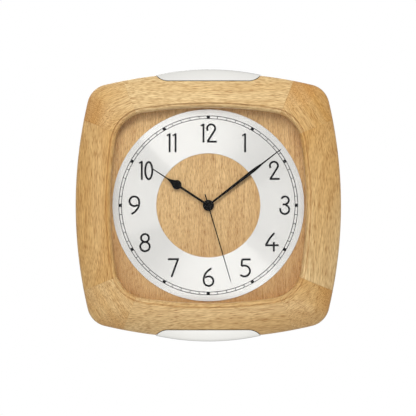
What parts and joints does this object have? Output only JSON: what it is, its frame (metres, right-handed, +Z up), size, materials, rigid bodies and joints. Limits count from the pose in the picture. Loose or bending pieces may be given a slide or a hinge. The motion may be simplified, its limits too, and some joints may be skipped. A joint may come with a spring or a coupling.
{
  "type": "wall clock",
  "caption": "Square wall clock with bowed sides: beech frame, silver dial ring with plain numerals, black hands and a battery movement set by radio signal, hung on a keyhole plate.",
  "frame": {"origin": "centre of the top of the keyhole slot, on the plane of the wall", "axes": "+Z up, +Y into the wall, the dial faces -Y, +X to the right of someone facing the dial"},
  "size_m": [0.332, 0.046, 0.3406],
  "materials": {
    "beech": "clear satin lacquer",
    "beech_veneer": "clear satin lacquer",
    "satin_aluminium": "satin anodised",
    "silver_dial": "circular brushed, lacquered",
    "clear_glass": "polished flat glass",
    "black_lacquer": "semi-matt black lacquer on sheet metal",
    "black_plastic": "moulded, fine texture",
    "zinc_plated_steel": "bright zinc plating",
    "spring_steel": "nickel plated strip",
    "motor_steel": "bare laminated sheet",
    "turned_brass": "turned",
    "black_rubber": "moulded",
    "white_nylon": "moulded",
    "grey_plastic": "moulded",
    "copper_winding": "enamelled copper wire",
    "ferrite": "sintered",
    "circuit_laminate": "solder mask",
    "battery_jacket": "printed jacket, plain"
  },
  "bodies": {
    "clock_body": {"top_rail": "beech", "left_rail": "beech", "bottom_rail": "beech", "right_rail": "beech", "corner_top_right": "beech", "corner_top_left": "beech", "corner_bottom_left": "beech", "corner_bottom_right": "beech", "spacer_frame": "beech", "dial_board": "beech_veneer", "top_insert": "satin_aluminium", "bottom_insert": "satin_aluminium", "dial_ring": "silver_dial", "glass_pane": "clear_glass", "movement_case": "black_plastic", "movement_cover": "black_plastic", "top_insert_screw_1": "zinc_plated_steel", "top_insert_screw_2": "zinc_plated_steel", "bottom_insert_screw_1": "zinc_plated_steel", "bottom_insert_screw_2": "zinc_plated_steel", "board_screw_top": "zinc_plated_steel", "board_screw_left": "zinc_plated_steel", "board_screw_bottom": "zinc_plated_steel", "board_screw_right": "zinc_plated_steel", "hanger_screw_1": "zinc_plated_steel", "hanger_screw_2": "zinc_plated_steel", "hanger_plate": "zinc_plated_steel", "positive_contact": "spring_steel", "negative_contact": "spring_steel", "second_stator": "motor_steel", "minute_stator": "motor_steel", "threaded_bushing": "turned_brass", "mounting_nut": "turned_brass", "brass_washer": "turned_brass", "rubber_washer": "black_rubber", "middle_plate": "white_nylon", "second_coil": "copper_winding", "minute_coil": "copper_winding", "ferrite_antenna": "ferrite", "circuit_board": "circuit_laminate", "battery": "battery_jacket"},
    "minute_group": {"minute_hand": "black_lacquer", "minute_wheel": "white_nylon"},
    "hour_group": {"hour_hand": "black_lacquer", "hour_wheel": "white_nylon"},
    "second_group": {"second_hand": "black_lacquer", "second_wheel": "white_nylon"},
    "motion_group": {"motion_wheel": "white_nylon"},
    "minute_intermediate_group": {"minute_intermediate_wheel": "white_nylon"},
    "minute_rotor_group": {"minute_rotor": "white_nylon"},
    "second_intermediate_group": {"second_intermediate_wheel": "white_nylon"},
    "second_rotor_group": {"second_rotor": "white_nylon"},
    "set_button_group": {"set_button": "grey_plastic"},
    "signal_button_group": {"signal_button": "grey_plastic"}
  },
  "joints": [
    {"name": "minute_turn", "type": "hinge", "parent": "clock_body", "child": "minute_group", "pos_m": [0, -0.011, -0.152], "axis": [0, 1, 0], "continuous": true},
    {"name": "hour_turn", "type": "hinge", "parent": "clock_body", "child": "hour_group", "pos_m": [0, -0.011, -0.152], "axis": [0, 1, 0], "continuous": true},
    {"name": "second_turn", "type": "hinge", "parent": "clock_body", "child": "second_group", "pos_m": [0, -0.011, -0.152], "axis": [0, 1, 0], "continuous": true},
    {"name": "motion_wheel_turn", "type": "hinge", "parent": "clock_body", "child": "motion_group", "pos_m": [0, -0.011, -0.158], "axis": [0, 1, 0], "continuous": true},
    {"name": "minute_intermediate_turn", "type": "hinge", "parent": "clock_body", "child": "minute_intermediate_group", "pos_m": [0.00624, -0.011, -0.1484], "axis": [0, 1, 0], "continuous": true},
    {"name": "minute_rotor_turn", "type": "hinge", "parent": "clock_body", "child": "minute_rotor_group", "pos_m": [0.01254, -0.011, -0.1484], "axis": [0, 1, 0], "continuous": true},
    {"name": "second_intermediate_turn", "type": "hinge", "parent": "clock_body", "child": "second_intermediate_group", "pos_m": [-0.00624, -0.011, -0.1484], "axis": [0, 1, 0], "continuous": true},
    {"name": "second_rotor_turn", "type": "hinge", "parent": "clock_body", "child": "second_rotor_group", "pos_m": [-0.01254, -0.011, -0.1484], "axis": [0, 1, 0], "continuous": true},
    {"name": "set_button_press", "type": "slide", "parent": "clock_body", "child": "set_button_group", "axis": [0, -1, 0], "range_m": [0, 0.0005], "stiffness_N_per_m": 400},
    {"name": "signal_button_press", "type": "slide", "parent": "clock_body", "child": "signal_button_group", "axis": [0, -1, 0], "range_m": [0, 0.0005], "stiffness_N_per_m": 400}
  ],
  "couplings": [
    {"joint": "hour_turn", "follows": "minute_turn", "ratio": 0.083333},
    {"joint": "motion_wheel_turn", "follows": "minute_turn", "ratio": -0.33333},
    {"joint": "minute_intermediate_turn", "follows": "minute_turn", "ratio": -5},
    {"joint": "minute_rotor_turn", "follows": "minute_turn", "ratio": 30},
    {"joint": "second_intermediate_turn", "follows": "second_turn", "ratio": -5},
    {"joint": "second_rotor_turn", "follows": "second_turn", "ratio": 30}
  ]
}
